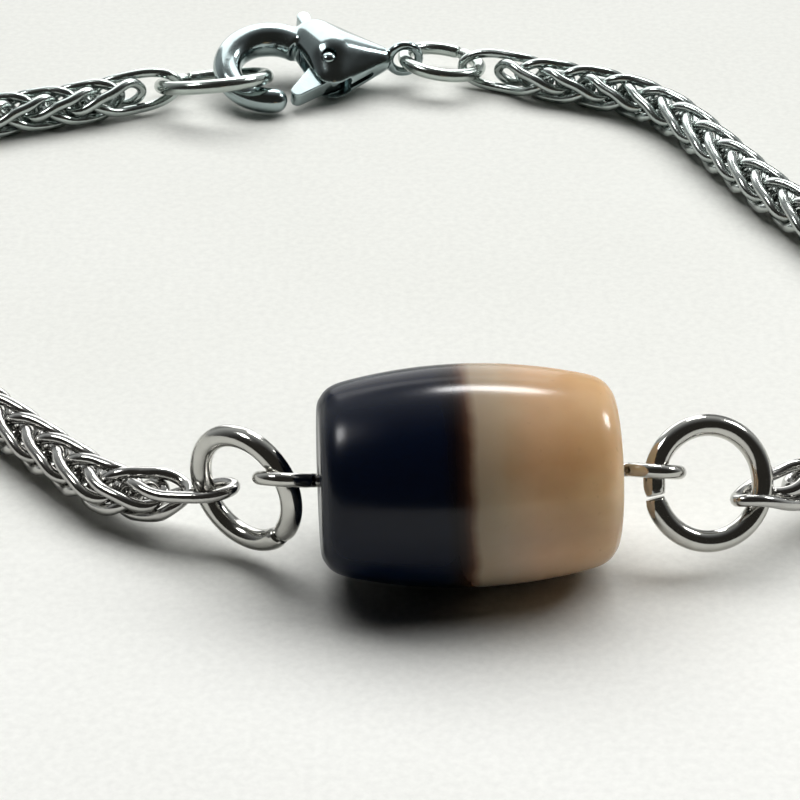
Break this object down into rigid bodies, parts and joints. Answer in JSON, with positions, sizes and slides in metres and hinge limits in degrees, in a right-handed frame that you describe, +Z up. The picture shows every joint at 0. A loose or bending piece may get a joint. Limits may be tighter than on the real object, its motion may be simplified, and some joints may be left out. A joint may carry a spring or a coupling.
{
  "type": "bracelet",
  "caption": "Wheat-weave steel chain bracelet with a two-tone barrel stone bead on a pin between jump rings, closed by a lobster clasp with a sprung lever.",
  "frame": {"origin": "middle of the bracelet's outline, on the surface that it lies on", "axes": "+X to the right along the bead, +Y to the back, towards the clasp, +Z up"},
  "size_m": [0.0614, 0.0584, 0.01],
  "materials": {
    "stone": "waxy polish, one half near black, the other cream",
    "steel_wire": "polished stainless steel",
    "steel_chain": "polished stainless steel",
    "steel_clasp": "high polish"
  },
  "bodies": {
    "bracelet": {"bead": "stone", "bead_pin": "steel_wire", "ring_left": "steel_wire", "ring_right": "steel_wire", "chain_left": "steel_chain", "chain_right": "steel_chain", "hook_ring": "steel_wire", "clasp_body": "steel_clasp", "clasp_pin": "steel_clasp", "tail_ring": "steel_wire"},
    "lever": {"clasp_lever": "steel_clasp"}
  },
  "joints": [
    {"name": "lever_hinge", "type": "hinge", "parent": "bracelet", "child": "lever", "pos_m": [-0.00146, 0.02481, 0.00158], "axis": [0.0623, -0.3363, 0.9397], "range_deg": [-40, 0], "stiffness_Nm_per_rad": 0.0004, "springref_deg": 17.19}
  ]
}
